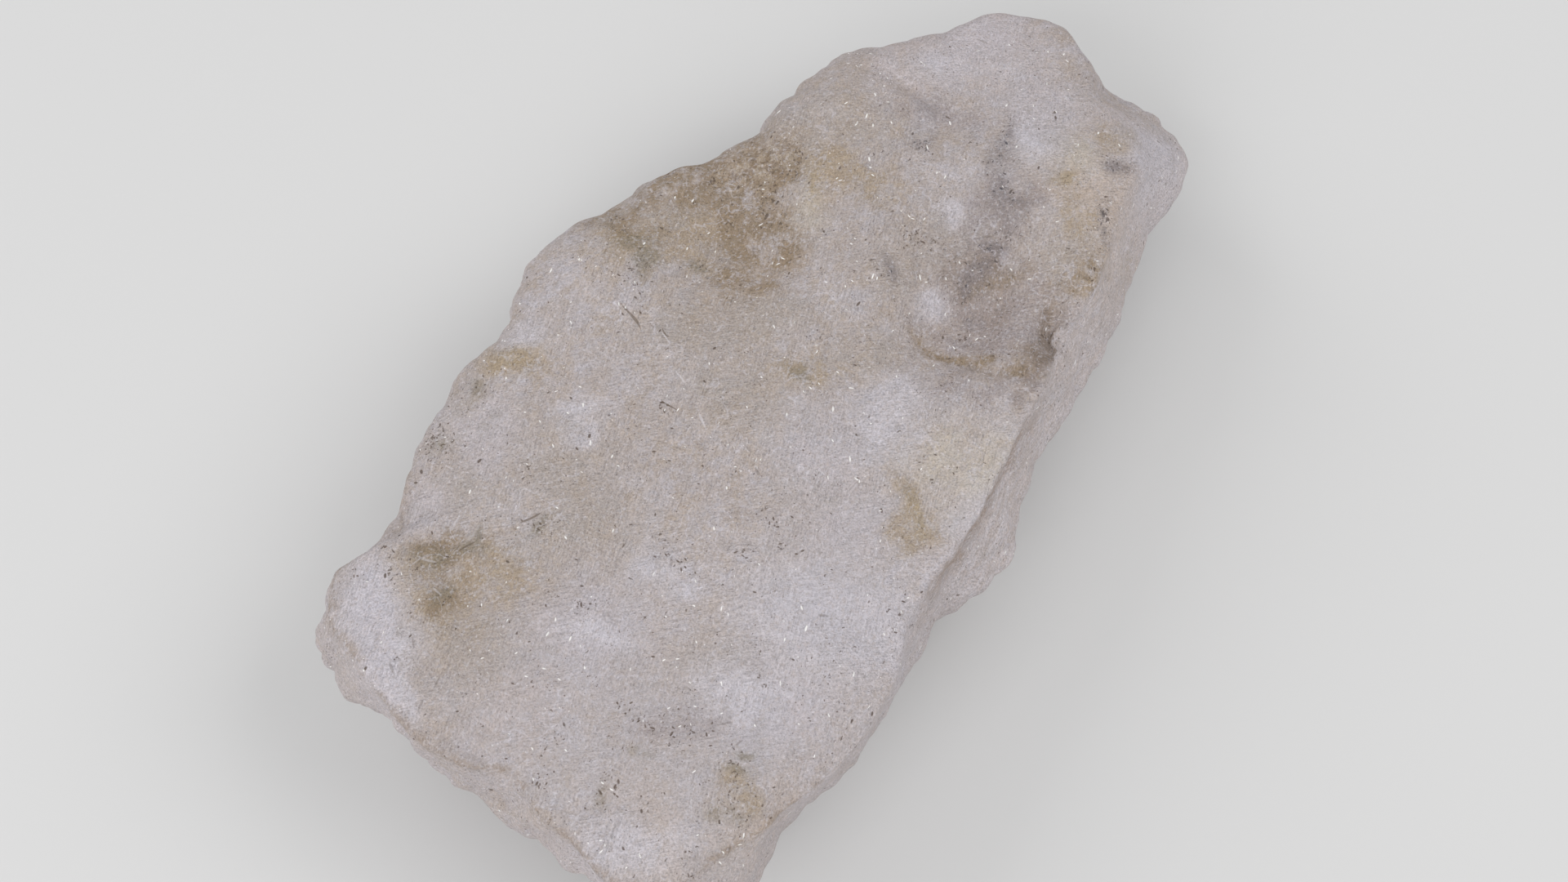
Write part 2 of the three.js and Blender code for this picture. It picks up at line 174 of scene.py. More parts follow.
def box_cells(counts):
    """Each side of a box as a grid on its two free axes, the six grids joined where they meet.
    Gives the corners, from -1 to 1 on each axis, and the four-cornered cells, facing outwards."""
    corners, cells, used = [], [], 0
    for axis in range(3):
        across, up = (axis + 1) % 3, (axis + 2) % 3
        for end in (0, 1):
            i, j = np.indices((counts[across] + 1, counts[up] + 1))
            grid = np.empty((*i.shape, 3), int)
            grid[..., axis], grid[..., across], grid[..., up] = end * counts[axis], i, j
            name = used + np.arange(i.size).reshape(i.shape)
            ring = [name[:-1, :-1], name[1:, :-1], name[1:, 1:], name[:-1, 1:]]
            cells.append(np.stack(ring if end else ring[::-1], -1).reshape(-1, 4))
            corners.append(grid.reshape(-1, 3))
            used += i.size
    corners, joined = np.unique(np.concatenate(corners), axis=0, return_inverse=True)
    return corners / counts * 2.0 - 1, joined.ravel()[np.concatenate(cells)]


def mix(a, b, share):
    """a + (b - a) times the share."""
    return a + (b - a) * share


def eased(share):
    """3 share squared - 2 share cubed: level at both ends."""
    return share * share * (3 - 2 * share)


def rising(value, low, high):
    """0 below low, 1 above high, and eased between; the other way round where high is below."""
    return eased(np.clip((value - low) / (high - low), 0, 1))


def outline(points):
    """A closed Catmull-Rom curve through the points, as bearing and distance from the middle, in
    order of bearing."""
    here = np.array(points, float)[:, None]
    before, after, beyond = (np.roll(here, -step, axis=0) for step in (-1, 1, 2))
    u = np.linspace(0, 1, CURVE_STEPS, endpoint=False)[None, :, None]
    bend = before - 2.5 * here + 2 * after - 0.5 * beyond
    swing = 1.5 * (here - after) + 0.5 * (beyond - before)
    curve = here + u * (after - before) / 2 + u**2 * bend + u**3 * swing
    x, y = (curve.reshape(-1, 2) - MIDDLE).T
    bearing = np.degrees(np.arctan2(y, x))
    order = np.argsort(bearing)
    return bearing[order], np.hypot(x, y)[order]


def around(stations, values, bearing, ease):
    """The value at a bearing, between the stations on either side of it: from + (to - from)
    times the eased share of the way."""
    keys = np.concatenate([[stations[-1] - 360], stations, [stations[0] + 360]])
    values = np.concatenate([values[-1:], values, values[:1]])
    after = np.searchsorted(keys, bearing, side="right")
    share = (bearing - keys[after - 1]) / (keys[after] - keys[after - 1])
    return mix(values[after - 1], values[after], ease(share))


def slab(s, t, w):
    """The slab before its hollows and breaks, for s, t and w from -1 to 1 along, across and up a
    box. Each point keeps its bearing; its distance goes from the grid's own in the middle of the
    broad face to the rim's, out to the belt's down the side, and in to the foot's."""
    x, y = s * HALF_LENGTH, t * HALF_WIDTH
    out = np.maximum(abs(s), abs(t))
    angle = np.arctan2(y, x)
    bearing = np.degrees(angle)
    rim, belt = (around(*outline(line), bearing, lambda share: share) for line in (RIM, BELT))
    measures = (BELT_HEIGHT, FLARE, ROLL, LEDGE, TUCK, FOOT_HEIGHT)
    widest, flare, roll, ledge, tuck, foot_height = (
        around(BEARINGS, measure, bearing, eased) for measure in measures
    )
    foot = belt * (1 - tuck)
    grid = np.hypot(x, y)
    reach = mix(grid, rim * out, out)
    top = FACE_HEIGHT + FACE_SLOPE * (MIDDLE[0] + reach * np.cos(angle)) - roll * out**ROLL_POWER
    bottom = mix(-BED_DEPTH, foot_height, out**BELLY_POWER)
    z = mix(bottom, top, (w + 1) / 2)
    down = np.clip((top - z) / (top - widest), 0, 1)
    under = np.clip((widest - z) / (widest - bottom), 0, 1)
    turned_out = down - 0.5 + np.hypot(down - 0.5, LEDGE_TURN)  # straight out from halfway down
    flared = mix(down**flare, turned_out, ledge)
    side = np.where(z > widest, mix(rim, belt, flared), mix(belt, foot, under**TUCK_POWER))
    distance = np.where(w == 1, reach, np.where(w == -1, mix(grid, foot * out, out), side))
    return np.stack(
        [MIDDLE[0] + distance * np.cos(angle), MIDDLE[1] + distance * np.sin(angle), z], 1
    )


def falling(distance, power=2):
    """1 at no distance, and exp(-distance to this power) further off."""
    return np.exp(-abs(distance) ** power)


def bell(points, at, reach, bearing, power=2):
    """1 at a spot, falling away from it with the distance, which is counted in reaches along,
    across and up, turned to a bearing."""
    c, s = math.cos(math.radians(bearing)), math.sin(math.radians(bearing))
    x, y, z = (points - at).T
    off = np.stack([x * c + y * s, y * c - x * s, z]) / np.array(reach)[:, None]
    return falling(np.sqrt((off**2).sum(0)), power)


def corner_value(i, j, k):
    """A repeatable number from 0 to 1 for each corner of a whole-number grid, by mixing the bits
    of its three numbers."""
    i, j, k = (n.astype(np.int64).astype(np.uint32) for n in (i, j, k))
    bits = i * np.uint32(0x27D4EB2D) ^ j * np.uint32(0x165667B1) ^ k * np.uint32(0x9E3779B1)
    bits = (bits ^ bits >> np.uint32(15)) * np.uint32(0x85EBCA6B)
    bits = (bits ^ bits >> np.uint32(13)) * np.uint32(0xC2B2AE35)
    return (bits ^ bits >> np.uint32(16)) / 2.0**32


def hills(points, size):
    """Smooth noise from -1 to 1: the values of the eight grid corners round a point, mixed by
    its eased place among them."""
    grid = (points / size).T
    low = np.floor(grid)
    u, v, w = eased(grid - low)
    (i, j, k), level = low, 0
    for c in (0, 1):
        for b in (0, 1):
            edge = mix(corner_value(i, j + b, k + c), corner_value(i + 1, j + b, k + c), u)
            level = level + edge * (v if b else 1 - v) * (w if c else 1 - w)
    return 2 * level - 1


def lumps(points, size):
    """Rounded lumps with creases between: 1 less the squared distance to the nearest of a
    scatter of points, one in each cell of a grid."""
    elsewhere = 101  # cells away, so that each axis draws a number of its own
    grid = (points / size).T
    low = np.floor(grid)
    nearest = np.ones(len(points))
    for step in np.ndindex(3, 3, 3):
        i, j, k = low + np.array(step)[:, None] - 1
        seed = (
            i + corner_value(i, j, k + elsewhere),
            j + corner_value(i, j + elsewhere, k),
            k + corner_value(i + elsewhere, j, k),
        )
        nearest = np.minimum(nearest, ((np.array(seed) - grid) ** 2).sum(0))
    return 1 - nearest


def gathered(values, cells, count):
    """Each cell's values added up at its four corners."""
    spread = np.repeat(values, 4, axis=0)
    return np.stack([np.bincount(cells.ravel(), part, count) for part in spread.T], 1)


def evened(values, cells, rounds):
    """Each corner's value replaced by the mean of its cells' means, this many times over."""
    shared = np.bincount(cells.ravel(), minlength=len(values))
    for _ in range(rounds):
        values = gathered(values[cells].mean(1), cells, len(values)) / shared[:, None]
    return values


def unit(arrows):
    """Each arrow made one long."""
    return arrows / np.linalg.norm(arrows, axis=-1, keepdims=True)


def outward(points, cells):
    """The way the surface faces at each corner: its cells' diagonals crossed and added up."""
    a, b, c, d = points[cells].transpose(1, 0, 2)
    return unit(gathered(np.cross(c - a, d - b), cells, len(points)))


corners, stone_cells = box_cells(STONE_CELLS)
stone_points = slab(*corners.T)
pushes = [bell(stone_points, *spot)[:, None] * push for *spot, push in HOLLOWS]
stone_points = stone_points + sum(pushes)
for through, break_facing in BREAKS:
    normal = unit(np.array(break_facing))
    beyond = (stone_points - through) @ normal
    excess = (beyond + np.hypot(beyond, BREAK_ROUNDING)) / 2
    stone_points = stone_points - excess[:, None] * normal
stone_points = evened(stone_points, stone_cells, WEAR_ROUNDS)

facing = unit(evened(outward(stone_points, stone_cells), stone_cells, FACING_ROUNDS))
side = rising(abs(facing[:, 2]), FACE_LEVEL, SIDE_LEVEL)  # 1 on the sides, 0 on the two faces
ridge_side = rising(-facing[:, 1], 0, RIDGE_TURNED)  # the long side with the sharp ridge
broken = side * (1 - RIDGE_SMOOTHNESS * ridge_side)
broad_lumps = lumps(stone_points, LUMP_SIZE)
ribs = lumps(stone_points / RIB_STRETCH, RIB_SIZE)
crust, rough_end = bell(stone_points, *CRUST), bell(stone_points, *ROUGH_END)

# The kinds of bump, each with the level of it that is flush with the stone, its height on the
# two faces, and how much higher it is on the broken sides.
skin = [
    (broad_lumps, 0.7, 0.5, 0.4),
    (ribs, 0.75, 0.1, 1.8),
    (lumps(stone_points, COBBLE_SIZE), 0.7, 0.12, 0.5),
    (hills(stone_points, BUMP_SIZE), 0, 0.1, 0.12),
]
crumbs = lumps(stone_points, CRUMB_SIZE) - 0.7  # with the same level as the lumps
rise = (
    SWELL_HEIGHT * hills(stone_points, SWELL_SIZE)
    + sum((height + more * broken) * (bumps - flush) for bumps, flush, height, more in skin)
    + GROOVE_HEIGHT * side * hills(stone_points / GROOVE_STRETCH, 1)
    + (CRUST_CRUMBS * crust + END_CRUMBS * rough_end) * crumbs
    + sum(push * bell(stone_points, *spot) for *spot, push in POCKETS)
)
stone_points = stone_points + rise[:, None] * facing
stone_points[:, 2] = np.maximum(stone_points[:, 2], 0)  # the flat it rests on

stone_mesh = bpy.data.meshes.new("gypsum_slab")
stone_mesh.from_pydata((stone_points / MM_IN_METRE).tolist(), [], stone_cells.tolist())
stone_mesh.polygons.foreach_set("use_smooth", np.ones(len(stone_cells), bool))
stone = bpy.data.objects.new("gypsum_slab", stone_mesh)
bpy.context.scene.collection.objects.link(stone)


def keep_on_stone(name, values):
    """Keeps a number for each corner of the stone's mesh, for its finish to read."""
    stone_mesh.attributes.new(name, "FLOAT", "POINT").data.foreach_set("value", values)


x, y, z = stone_points.T
keep_on_stone("side", side)
keep_on_stone("crust", crust)

# How high a place is on its lumps: low in the creases of the sides, where painted shade darkens the
# stone.
keep_on_stone("dome", 0.4 * broad_lumps + 0.6 * ribs * side + 0.45 * (1 - side))

# The steep stretch below the ridge, and the smooth wall next to it, up to the very rim: the
# middle of each along X, and how far it reaches.
STEEP_MIDDLE, STEEP_REACH = -4, 13
WALL_MIDDLE, WALL_REACH, WALL_SIDE = 8, 20, -15  # and past this along Y only
LEDGE_TOP, STEEP_FOOT = 17, 19  # the heights between which the steep stretch sets in
steep = rising(z, LEDGE_TOP, STEEP_FOOT) * ridge_side * side
keep_on_stone("steep_band", steep * falling((x - STEEP_MIDDLE) / STEEP_REACH, 4))
under_ridge = (corners[:, 2] < 1) & (y < WALL_SIDE)
keep_on_stone("ridge_wall", under_ridge * falling((x - WALL_MIDDLE) / WALL_REACH, 6))

# A narrow line along the rim of the blunt end: how far a corner is from the rim, either in over
# the broad face or down the side.
inwards = np.minimum(
    (1 - abs(corners[:, 0])) * HALF_LENGTH, (1 - abs(corners[:, 1])) * HALF_WIDTH
)
downwards = (1 - corners[:, 2]) * FACE_HEIGHT / 2
from_rim = np.where(corners[:, 2] == 1, inwards, downwards)
RIM_LINE = 0.9  # how far the line reaches
WORN_FROM, WORN_FULLY = 28, 40  # how far out along -X it sets in
keep_on_stone("worn_rim", falling(from_rim / RIM_LINE) * rising(-x, WORN_FROM, WORN_FULLY))

# The shoulder of the left corner, past the fold that cuts it off from the broad face: a point
# of the fold and the way it faces, and the shoulder's middle, reaches and bearing.
FOLD_POINT, FOLD_FACING = (-48.1, 14.7), (-0.66, 0.75)
FOLD_HALF = 0.5  # half the breadth over which it sets in
SHOULDER = ((-49.5, 16, 25), (8.5, 3.2, 14), 42)
past_fold = (stone_points[:, :2] - FOLD_POINT) @ FOLD_FACING
shoulder = bell(stone_points, *SHOULDER, power=4)
keep_on_stone("shoulder", rising(past_fold, -FOLD_HALF, FOLD_HALF) * shoulder)


class Value:
    """A socket of a material. Arithmetic on it adds Math nodes, and node() adds any other."""

    def __init__(self, tree, socket=None):
        self.tree, self.socket = tree, socket

    def node(self, kind, settings, inputs):
        """Adds a node, sets it up, fills its sockets, by name or place, and gives its outputs."""
        made = self.tree.nodes.new(kind)
        for name, setting in settings.items():
            setattr(made, name, setting)
        open_sockets = [socket for socket in made.inputs if socket.enabled]
        by_name = {socket.name: socket for socket in reversed(open_sockets)}
        for key, value in inputs.items():
            socket = open_sockets[key] if isinstance(key, int) else by_name[key]
            if isinstance(value, Value):
                self.tree.links.new(value.socket, socket)
            else:
                socket.default_value = value
        return {out.name: Value(self.tree, out) for out in made.outputs if out.enabled}

    def maths(self, operation, *values, kind="ShaderNodeMath"):
        """A Math node, or one of its kin, on the values in turn."""
        outputs = self.node(kind, {"operation": operation}, dict(enumerate(values)))
        return next(iter(outputs.values()))

    def vector(self, operation, *values):
        """A Vector Math node on places or colours."""
        return self.maths(operation, *values, kind="ShaderNodeVectorMath")

    def __add__(self, other):
        return self.maths("ADD", self, other)

    def __radd__(self, other):
        return self.maths("ADD", other, self)

    def __sub__(self, other):
        return self.maths("SUBTRACT", self, other)

    def __rsub__(self, other):
        return self.maths("SUBTRACT", other, self)

    def __mul__(self, other):
        return self.maths("MULTIPLY", self, other)

    def __rmul__(self, other):
        return self.maths("MULTIPLY", other, self)


def tone(red, green, blue):
    """A colour given as display levels from 0 to 255, as light: the usual screen curve undone."""
    levels = np.array([red, green, blue]) / 255
    light = np.where(levels <= 0.04045, levels / 12.92, ((levels + 0.055) / 1.055) ** 2.4)
    return (*light.tolist(), 1.0)


gypsum = bpy.data.materials.new("worn_gypsum")
gypsum.use_nodes = True
gypsum.node_tree.nodes.clear()
finish = Value(gypsum.node_tree)
place = finish.vector("SCALE", finish.node("ShaderNodeTexCoord", {}, {})["Object"], MM_IN_METRE)


def noise(at, size, detail=2.0, rough=0.5, output="Fac"):
    """Cloudy noise, near 0.5, with patches about `size` millimetres apart."""
    inputs = {"Vector": at, "Scale": 1 / size, "Detail": detail, "Roughness": rough}
    return finish.node("ShaderNodeTexNoise", {}, inputs)[output]


def ramp(value, low, high, smooth=True):
    """0 below low, 1 above high, and eased between them, or straight where it isn't smooth; the
    other way round where high is below low."""
    kind = "SMOOTHSTEP" if smooth else "LINEAR"
    span = {"Value": value, "From Min": low, "From Max": high}
    return finish.node("ShaderNodeMapRange", {"interpolation_type": kind}, span)["Result"]


def blend(share, under, over):
    """Colour `over` laid on colour `under` by a share."""
    inputs = {"Factor": share, "A": under, "B": over}
    return finish.node("ShaderNodeMix", {"data_type": "RGBA"}, inputs)["Result"]


def darkened(amount, under):
    """Colour `under` made lighter or darker, by multiplying it."""
    return finish.vector("SCALE", under, amount)


def turned(at, rotation):
    """Places turned round the three axes in turn."""
    inputs = {"Vector": at, "Rotation": rotation}
    return finish.node("ShaderNodeVectorRotate", {"rotation_type": "EULER_XYZ"}, inputs)["Vector"]


def stretched(at, reach, bearing, tilt=0.0):
    """Places turned to a bearing and divided by three reaches."""
    rotation = (math.radians(tilt), 0, math.radians(-bearing))
    return finish.vector("DIVIDE", turned(at, rotation), reach)


def kept(name):
    """A number kept at the corners of the stone's mesh."""
    return finish.node("ShaderNodeAttribute", {"attribute_name": name}, {})["Fac"]


def parts(colour):
    """The three parts of a colour, or of a noise's colour, as three values."""
    return list(finish.node("ShaderNodeSeparateColor", {}, {"Color": colour}).values())


# Two rough noises of three parts each: one from clouds a few millimetres apart down to single
# grains, which frays the edge of every stain, and one of the grains alone.
frays = parts(noise(place, 3.2, detail=5.0, rough=0.8, output="Color"))
specks = parts(noise(place, 0.4, detail=1.5, rough=0.7, output="Color"))

# The ground of the stone: clouds from pinkish beige to lilac white, of three sizes.
PINKISH_BEIGE, LILAC = tone(173, 162, 158), tone(184, 175, 175)
PALE_CLOUD, BROWN_CLOUD = tone(187, 182, 189), tone(168, 155, 143)
colour = blend(ramp(noise(place, 15), 0.36, 0.66), PINKISH_BEIGE, LILAC)
colour = blend(ramp(frays[0], 0.44, 0.64) * 0.6, colour, PALE_CLOUD)
colour = blend(ramp(frays[1], 0.46, 0.66) * 0.6, colour, BROWN_CLOUD)

# The places of the stains are read with a wander, so that no spot is a plain oval.
BROAD_WANDER, FINE_WANDER = (1.3, 4.3), (0.7, 1.9)  # how far, and how far apart the turns are
ELSEWHERE = (31, 57)  # in the noise, so that each axis has a wander of its own
wander = [
    sum(far * hills(stone_points + shift, size) for far, size in (BROAD_WANDER, FINE_WANDER))
    for shift in ELSEWHERE
]
wandering = stone_points + np.stack([*wander, 0 * wander[0]], 1)
SPOT_LEVEL, SPOT_DEPTH = 25, 14  # how high the spots lie, and how far each reaches up and down


def spots_kept(name, spots):
    """Keeps, under a name, how far each point of the stone is inside a set of spots: 1 less the
    product of 1 less each spot's bell."""
    bells = [
        bell(wandering, (x, y, SPOT_LEVEL), (length, breadth, SPOT_DEPTH), turn)
        for x, y, length, breadth, turn in spots
    ]
    keep_on_stone(name, 1 - np.prod(1 - np.array(bells), 0))


# Stains, in the order they are laid on. Each kind has a colour, a strength, how ragged it is,
# and its spots: x, y, half length, half breadth and bearing.
STAINS = {
    "tan": (tone(164, 153, 145), 0.7, 1.2, [
        (26.5, 10.5, 7, 4, -45), (6, 18.5, 4, 3.5, -55), (-3.5, 8.5, 8, 3, -55),
        (-23.5, 10.5, 5, 4, -55), (-46, 7, 5, 4.5, -55), (-29, 5, 6, 4.5, -55),
        (2.5, 3, 5.5, 2.5, -55), (4, -9, 3.5, 2, -55), (23, -10.5, 5.5, 4, -55),
        (-33, 18, 3.5, 2.5, -55), (-12.5, -14, 5, 4.5, -55), (-8, 0.5, 6, 5, -55),
        (13.5, -7, 4, 4, -55), (20, -12, 6, 4, -55), (27, -19.8, 3.6, 2.5, -30),
        (-48.5, -26.7, 3, 1.5, -20), (-51, 1, 3, 2, -55), (-25, 21.2, 3, 2.2, -55),
        (-54.5, 17.5, 2.5, 3, 0), (-43.3, -23.7, 2.2, 1.8, 20), (-34.5, -14, 3.5, 2, -50),
        (26, 9, 5, 2.5, -45),
    ]),
    "cool": (tone(179, 173, 177), 0.55, 0.6, [
        (-44, -14, 9, 12, 0), (-50, -2, 7, 6, 0), (-36, -24, 7, 5, 0), (-22, -20, 7, 6, 0),
    ]),
    "rose": (tone(188, 178, 179), 0.7, 1.0, [
        (43.5, 3, 9, 5, -45), (46.5, -16.5, 4, 3, -45), (40, 5.5, 5.5, 2.5, -55),
        (-49.5, -0.5, 5, 3, -55), (50, 4, 6, 6, -45),
    ]),
    "peach": (tone(190, 175, 166), 0.8, 1.0, [
        (33.5, -18, 4.5, 3, -55), (38.5, -20.5, 2.5, 2, -55), (-52, -20, 5, 2, 40),
        (34, -21, 4, 2, 20), (30, -24.5, 4, 1.5, 20), (20, -29, 5, 3, 30), (-46, -29, 4, 3, -20),
    ]),
    "lilac": (tone(190, 184, 191), 0.65, 1.2, [
        (41.5, -8, 5, 5, -55), (43.5, -23.5, 4, 3, -55), (-25.5, 20.5, 3, 5, -55),
        (-35.5, -23, 4.5, 5, -55), (-13.5, -18.5, 5, 4, -55), (-9.5, -11, 4.5, 5, -55),
        (-10, -31, 4, 5, -55), (-5, -31, 6, 4, 10), (-36, 20, 3, 3, -55), (-38, -2, 6, 5, -55),
        (15, -30, 6, 3, 20), (47, 3, 5, 5, -55), (47.5, -22, 4, 3, 0),
    ]),
    "grey": (tone(155, 145, 145), 0.75, 1.2, [
        (35, 1, 5.5, 2.2, -85), (15.5, -20.5, 3, 2, -55), (14.5, -16.5, 7, 4.5, -55),
        (5, -18, 2.5, 2.5, -55), (7.5, -22.8, 3.4, 1.4, -35), (-41.5, -16, 5, 1.5, -55),
        (28, -11, 5, 3, -30), (20, -13.5, 4.5, 3.5, -55), (17, -18.3, 4.5, 3.4, -55),
        (28.4, -12.4, 3, 2.4, -55),
    ]),
    "cream": (tone(188, 178, 166), 0.7, 1.0, [
        (-2, -24, 5, 4.5, -25), (37.5, -15, 3.5, 2.6, -55), (15.5, 6.5, 2.5, 2.5, -55),
    ]),
    "ochre": (tone(163, 147, 128), 0.8, 1.6, [
        (22.5, 3.5, 5, 2.2, -85), (20.5, 8, 3, 1.5, -70), (-1, -5.5, 4, 1.5, -45),
        (2.4, 20, 4, 3, -55), (43.5, -17.5, 2, 2, -55), (7, 15, 4, 4, -55), (30.5, -20, 3, 2.5, 35),
        (25.4, -23.7, 3.5, 2.2, -45), (-8.8, -21.6, 2.8, 1.7, 25), (-10.5, -23.5, 2.2, 1.8, -55),
        (-13.5, -24.5, 1.2, 1, -55), (-16.3, 22.4, 3, 2.6, -55), (-10.6, -21.6, 1.4, 1.4, 0),
        (-41.5, 16, 3.4, 3, -55), (-43.5, 12, 3.4, 3.4, -55), (-37.5, 9.4, 3.3, 2.6, -35),
        (-44, -24, 2, 1.2, 25), (-57.3, -1.5, 6, 0.9, 98), (34.2, -25.5, 3.4, 1.6, 15),
    ]),
    "rust": (tone(141, 123, 101), 0.9, 1.8, [
        (17, 13, 3.5, 2.8, -35), (10.5, 17, 3, 2.2, -55), (10, 12, 4, 2.8, -45),
        (4.5, 8, 3.5, 2.8, -55), (15, 17.5, 6, 2, -35), (10.5, 7, 2.5, 2.5, -55),
        (10.5, -23, 4, 0.9, -65), (9, -15, 4, 0.7, -85), (10.5, -18.5, 1.2, 0.9, -55),
        (-42.5, 12, 1.9, 1.5, 30), (-38.5, 15, 3.2, 2.4, -35), (9.2, 9.5, 2.4, 1.8, 0),
        (26, -24, 2.5, 2.5, -55), (18.3, 13.9, 3, 2.2, -35), (20, -14, 3.5, 2, -55),
        (15, 21, 7, 4, -35), (5, 25, 4, 2.5, -20), (13.5, 15.5, 4, 2.5, -40),
        (14.5, 14.3, 3, 2.2, -40), (15.5, 16.5, 3.2, 2.2, -30), (24.5, -23.6, 2.6, 1.4, -40),
        (-37.8, 16, 2.4, 1.4, -55), (3, 20.5, 2.4, 1.4, -70),
    ]),
    "olive": (tone(136, 126, 110), 0.75, 1.7, [
        (2.4, 20.3, 2.2, 1.6, -80), (1, 18, 3, 1, 45), (3.5, 13, 1.2, 0.7, -55),
        (-38.7, 15.1, 3.4, 1.3, -58), (-36.5, 13.8, 2.4, 0.5, 5), (-42.8, 12.4, 1.1, 0.8, 20),
        (-31.5, 9.5, 1.7, 0.5, -15), (-28.5, 23, 1.8, 0.8, -25), (-22.5, 24.5, 2.4, 1, 10),
        (-2, -4.5, 1.4, 1, -55), (-8, -21, 1.2, 0.7, 30), (-46, -14.5, 1.2, 0.6, -55),
        (-52, -13.5, 1.2, 0.6, 35), (-42.5, -23, 1.2, 0.6, -55), (-46.5, -24.5, 0.9, 0.6, -55),
        (-40, -22.5, 0.8, 0.6, -55),
    ]),
    "bloom": (tone(197, 193, 201), 0.75, 1.5, [
        (13.3, -11.2, 2, 1, -45), (22.2, -15, 1.3, 0.6, 5), (37, -10, 3, 2.4, 35),
        (24, -7.5, 2, 1.6, -55), (0, -14, 3.6, 2.6, -25), (-4.5, -14.5, 2.6, 2.2, -55),
        (-18, 14, 1.6, 1.2, -55), (-21, 11.5, 2, 1.8, -55), (-13, 24, 2.2, 2, -55),
        (-38, -3.5, 3, 1.3, -55), (-29.5, -3, 3, 1.3, -45), (-29, -7.5, 2, 1.1, -55),
        (-25, -17.5, 6, 4.5, -55), (-23, -25.5, 6, 5, -25), (-36, -18.5, 3.8, 3.4, -55),
        (-48, 19, 5.5, 3.6, 35), (-53, 11, 5.5, 1.6, -130), (-54.5, -18, 6.5, 3.2, -55),
        (46, -22.5, 5, 3.6, 0), (48, -22, 3, 3, 0), (-51, 14, 3, 2, 42), (40.5, 4.5, 3, 1.8, -45),
        (-25, -21, 3.4, 2.4, 0), (-6, -31, 6, 3, 10),
    ]),
    "yellow": (tone(163, 146, 122), 0.82, 1.5, [
        (-15.7, 23, 2.4, 1.6, -30), (-9.4, -22.4, 2.4, 1.1, 35), (33.6, -15.7, 1.9, 1.3, -60),
        (18.8, 7.1, 2.4, 1.8, 0),
    ]),
    "dusk": (tone(140, 127, 121), 0.75, 1.6, [
        (16.1, -15.7, 2.6, 1.8, 30), (19.7, -13.2, 2.6, 1.6, -20), (27.3, -13, 1.6, 2, -80),
        (12.8, -25, 2.6, 1.6, 10), (9.3, -26, 3, 1, 8), (40.1, -20, 1.2, 1, 0),
        (22.8, -13.1, 1.6, 1.4, 0), (17, -18.5, 2.5, 1.6, 0),
    ]),
    "soot": (tone(126, 120, 123), 0.6, 2.0, [
        (35, -7.5, 4, 1.2, 25), (29, -11, 3.2, 1.2, 40), (27.5, -13.5, 1.6, 1.2, -55),
        (22.4, -12.8, 2.6, 1.6, -80), (18.5, -13, 2.2, 1.2, -55), (29.5, 0.5, 1.5, 1.5, -55),
        (40, -19.5, 1.1, 0.8, -55), (31.8, -22, 2.2, 0.5, 35), (15, -16, 1, 0.8, -55),
        (13.5, -5.5, 1.6, 1, 30),
    ]),
    # The hook-shaped recess: brown dirt together with painted shade.
    "recess_dirt_and_shade": (tone(122, 106, 90), 0.68, 0.8, [
        (18.2, -23.2, 2.6, 1, 35), (14, -24.3, 2.4, 1.5, -45), (16.3, -24.6, 2, 1, 30),
    ]),
}
for number, (kind, (stain, strength, ragged, spots)) in enumerate(STAINS.items()):
    spots_kept(kind, spots)
    fringe = 1.2 - ragged / 2 + ragged * ramp(frays[number % 3], 0.41, 0.6, smooth=False)
    cover = ramp(kept(kind) * fringe, 0, 1.1, smooth=False)
    colour = blend(cover * strength, colour, stain)

# The smooth wall below the notch starts clean at the rim, and is streaked along its length. The
# shoulder past the fold is pale.
WALL_STREAK, WALL_BEARING = (4.5, 0.6, 0.8), 8  # along, across and in height
WALL_BROWN, WALL_WHITE = tone(174, 161, 154), tone(197, 190, 193)
PALE_SHOULDER = tone(193, 188, 196)
streaks = noise(stretched(place, WALL_STREAK, WALL_BEARING), 1.0, detail=3, rough=0.65)
wall = blend(ramp(streaks, 0.38, 0.62), WALL_BROWN, WALL_WHITE)
colour = blend(ramp(kept("ridge_wall"), 0.3, 0.7) * 0.75, colour, wall)
colour = blend(kept("shoulder") * 0.65, colour, PALE_SHOULDER)

# The broken sides are pinker, and browner and darker where they are steep under the ridge: partly a
# brown stain and partly painted shade. Painted shade also darkens the creases between the lumps.
SIDE_PINK, STEEP_EARTH_AND_SHADE, CREASE_SHADE = tone(196, 187, 188), tone(157, 140, 130), tone(150, 137, 128)
# Painted shade, with a brown stain, on the steep band under the ridge.
earth_and_shade = kept("steep_band") * (0.3 + 0.6 * ramp(frays[1], 0.42, 0.58))
colour = blend(kept("side") * 0.55, colour, SIDE_PINK)
colour = blend(earth_and_shade, colour, STEEP_EARTH_AND_SHADE)
# Painted shade darkens the creases between the lumps.
colour = blend(ramp(kept("dome"), 0.42, 0.2) * 0.3, colour, CREASE_SHADE)

# A thin brown line runs along the worn rim of the end, and pale veins wander over the face.
# A vein is where a cloud passes its middle value, and another cloud leaves most of them out.
WORN_BROWN, VEIN_WHITE = tone(148, 130, 113), tone(203, 198, 205)
VEIN_BREADTH = 0.011  # in the value of the cloud
worn_line = kept("worn_rim") * ramp(frays[0], 0.42, 0.56)
colour = blend(worn_line * 0.65, colour, WORN_BROWN)
off_middle = finish.maths("ABSOLUTE", noise(place, 8, detail=3, rough=0.6) - 0.5)
vein = ramp(off_middle, VEIN_BREADTH, 0) * ramp(noise(place, 13, detail=1), 0.45, 0.6)
colour = blend(vein * 0.45, colour, VEIN_WHITE)

# The crust is crumbly: light crumbs in brown dirt.
BROWN_DIRT, LIGHT_CRUMB = tone(119, 101, 81), tone(176, 162, 147)
crumb = ramp(noise(place, 1.2, detail=3, rough=0.75), 0.44, 0.58)
colour = blend(kept("crust") * 0.65, colour, blend(crumb, BROWN_DIRT, LIGHT_CRUMB))

